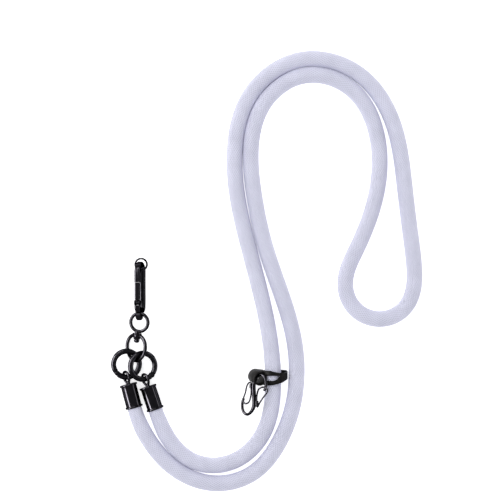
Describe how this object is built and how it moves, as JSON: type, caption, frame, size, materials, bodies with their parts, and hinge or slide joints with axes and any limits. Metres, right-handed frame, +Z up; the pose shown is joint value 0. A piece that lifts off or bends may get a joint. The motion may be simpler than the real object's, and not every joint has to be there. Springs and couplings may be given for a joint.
{
  "type": "phone crossbody strap",
  "caption": "Crossbody strap: round white rope with black end caps, spring-gate rings, a swivel snap hook, and a leather tab carrying an S clip.",
  "frame": {"origin": "on the surface the strap lies on, under the middle of the hard pieces' bounding box", "axes": "+Z up from the surface, +Y along the hardware from the end caps to the snap hook's top, +X towards the leather tab"},
  "size_m": [0.1991, 0.2809, 0.0165],
  "materials": {
    "rope": "matt knit",
    "hardware": "gloss black plating",
    "leather": "matt grain"
  },
  "bodies": {
    "strap": {"rope": "rope", "end_cap_left": "hardware", "end_cap_right": "hardware", "cap_eye_left": "hardware", "cap_eye_right": "hardware", "gate_ring_left": "hardware", "gate_ring_right": "hardware", "swivel_lower_ring": "hardware", "leather_tab": "leather", "s_clip_body": "hardware"},
    "swivel": {"swivel_upper_ring": "hardware", "hook_body": "hardware", "small_wire_ring": "hardware"},
    "hook_gate": {"hook_gate": "hardware"},
    "ring_gate_left": {"ring_gate_left": "hardware"},
    "ring_gate_right": {"ring_gate_right": "hardware"},
    "clip_gate_upper": {"s_clip_gate_upper": "hardware"},
    "clip_gate_lower": {"s_clip_gate_lower": "hardware"}
  },
  "joints": [
    {"name": "swivel_spin", "type": "hinge", "parent": "strap", "child": "swivel", "pos_m": [-0.03982, 0.00065, 0.00761], "axis": [0.0778, 0.9946, 0.0691], "continuous": true},
    {"name": "hook_gate_pivot", "type": "hinge", "parent": "swivel", "child": "hook_gate", "pos_m": [-0.03931, 0.02211, 0.01224], "axis": [-0.9659, 0, -0.2588], "range_deg": [0, 25], "stiffness_Nm_per_rad": 0.02},
    {"name": "ring_gate_left_pivot", "type": "hinge", "parent": "strap", "child": "ring_gate_left", "pos_m": [-0.05249, -0.02308, 0.0069], "axis": [-0.2062, 0.0017, -0.9785], "range_deg": [0, 28], "stiffness_Nm_per_rad": 0.02},
    {"name": "ring_gate_right_pivot", "type": "hinge", "parent": "strap", "child": "ring_gate_right", "pos_m": [-0.03071, -0.02436, 0.00435], "axis": [0.4035, -0.0052, 0.915], "range_deg": [0, 28], "stiffness_Nm_per_rad": 0.02},
    {"name": "clip_gate_upper_pivot", "type": "hinge", "parent": "strap", "child": "clip_gate_upper", "pos_m": [0.03673, -0.04198, 0.00921], "axis": [0.0244, -0.9995, 0.0194], "range_deg": [0, 30], "stiffness_Nm_per_rad": 0.005},
    {"name": "clip_gate_lower_pivot", "type": "hinge", "parent": "strap", "child": "clip_gate_lower", "pos_m": [0.03305, -0.03138, 0.00629], "axis": [-0.0244, 0.9995, -0.0194], "range_deg": [0, 30], "stiffness_Nm_per_rad": 0.005}
  ]
}
